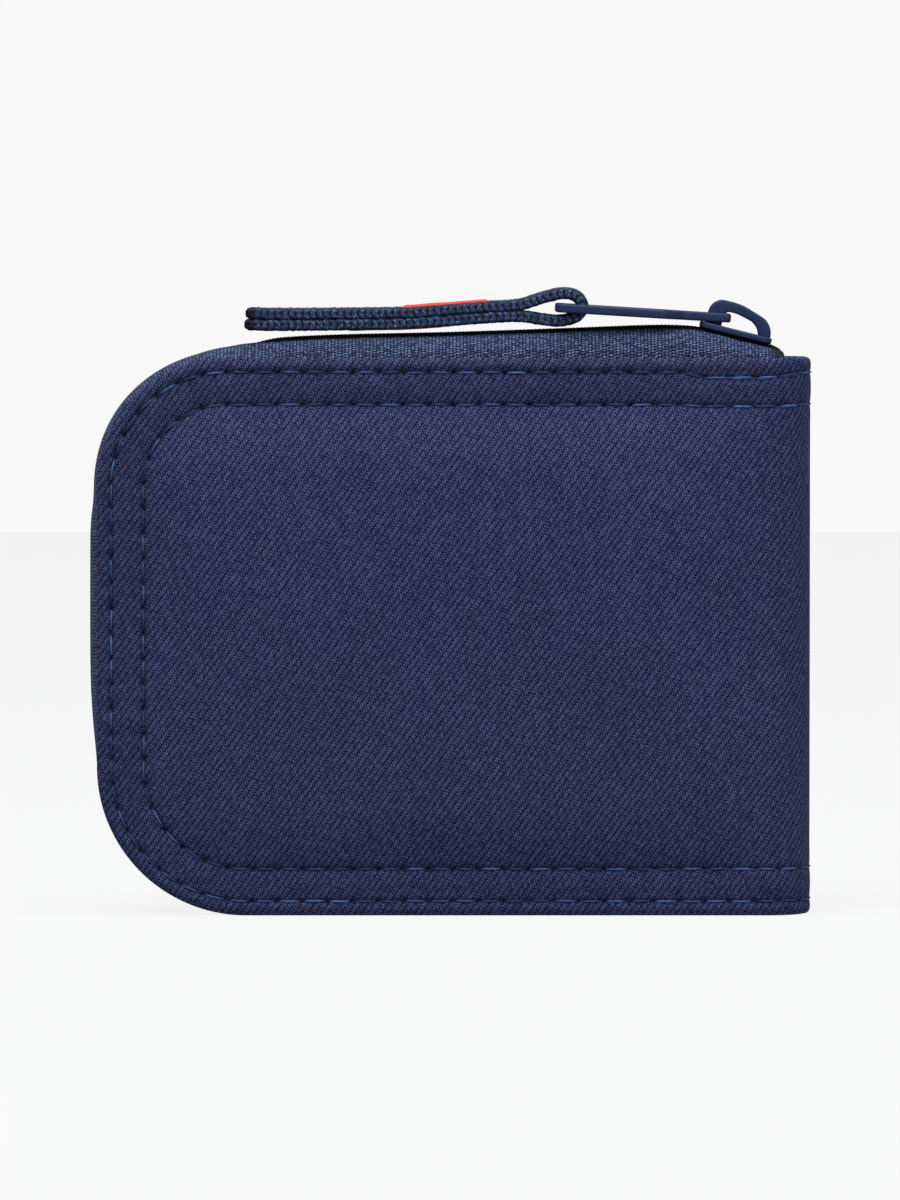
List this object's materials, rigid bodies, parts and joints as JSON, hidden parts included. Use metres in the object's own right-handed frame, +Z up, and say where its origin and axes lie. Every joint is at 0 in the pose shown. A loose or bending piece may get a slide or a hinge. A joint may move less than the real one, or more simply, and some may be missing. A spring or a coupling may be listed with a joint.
{
  "type": "zip around wallet",
  "caption": "Upright zip-around cloth wallet: two padded covers open like a book on a soft spine, with a zip, webbing pull tab, card pockets and coin pocket inside.",
  "frame": {"origin": "middle of the closed wallet's footprint, on the surface that it stands on", "axes": "+X along the wallet towards the spine, +Y from the front cover to the back cover, +Z up; the zip is on the top, free (-X) and bottom sides"},
  "size_m": [0.1163, 0.02, 0.1011],
  "materials": {
    "twill": "navy polyester twill over thin foam, matt",
    "zip_tape": "navy woven zip tape, matt",
    "zip_coil": "navy nylon coil, satin",
    "stiffener": "plain board, matt",
    "lining": "dark navy plain-weave lining",
    "pocket": "dark navy plain-weave pocket cloth with folded edges",
    "painted_metal": "satin navy paint on zinc",
    "webbing": "ribbed navy webbing with lighter flecks",
    "red_patch": "plain soft red patch, matt"
  },
  "bodies": {
    "back_cover": {"back_outer_panel": "twill", "back_stiffener_board": "stiffener", "back_lining": "lining", "back_note_sleeve": "pocket", "back_zip_tape": "zip_tape", "back_zip_coil": "zip_coil", "coin_pocket_panel": "pocket", "coin_pocket_top_band": "pocket", "coin_zip_tape": "zip_tape", "coin_zip_coil": "zip_coil"},
    "spine": {"spine_outer_strip": "twill", "spine_lining_strip": "lining"},
    "front_cover": {"front_outer_panel": "twill", "front_stiffener_board": "stiffener", "front_lining": "lining", "front_note_sleeve": "pocket", "card_pocket_1": "pocket", "card_pocket_2": "pocket", "card_pocket_3": "pocket", "front_zip_tape": "zip_tape", "front_zip_coil": "zip_coil"},
    "zip_slider": {"zip_slider_body": "painted_metal", "slider_bail": "painted_metal"},
    "zip_puller": {"puller": "painted_metal"},
    "pull_tab": {"pull_tab_webbing": "webbing", "tab_patch_upper": "red_patch", "tab_patch_lower": "red_patch"},
    "coin_slider": {"coin_zip_slider": "painted_metal", "coin_zip_pull": "painted_metal"}
  },
  "joints": [
    {"name": "spine_fold", "type": "hinge", "parent": "back_cover", "child": "spine", "pos_m": [0.0567, 0.0085, 0.045], "axis": [0, 0, 1], "range_deg": [0, 90]},
    {"name": "cover_fold", "type": "hinge", "parent": "spine", "child": "front_cover", "pos_m": [0.0567, -0.0085, 0.045], "axis": [0, 0, 1], "range_deg": [0, 90]},
    {"name": "zip_travel", "type": "hinge", "parent": "back_cover", "child": "zip_slider", "pos_m": [0.008, 0, -0.2055], "axis": [0, -1, 0], "range_deg": [0, 15]},
    {"name": "puller_swing", "type": "hinge", "parent": "zip_slider", "child": "zip_puller", "pos_m": [0.04605, 0, 0.09545], "axis": [0, 1, 0], "range_deg": [0, 110]},
    {"name": "tab_swing", "type": "hinge", "parent": "zip_puller", "child": "pull_tab", "pos_m": [0.0189, 0, 0.09795], "axis": [0, 1, 0], "range_deg": [0, 90]},
    {"name": "coin_zip_travel", "type": "slide", "parent": "back_cover", "child": "coin_slider", "axis": [-1, 0, 0], "range_m": [0, 0.074]}
  ],
  "couplings": [
    {"joint": "cover_fold", "follows": "spine_fold", "ratio": 1}
  ]
}
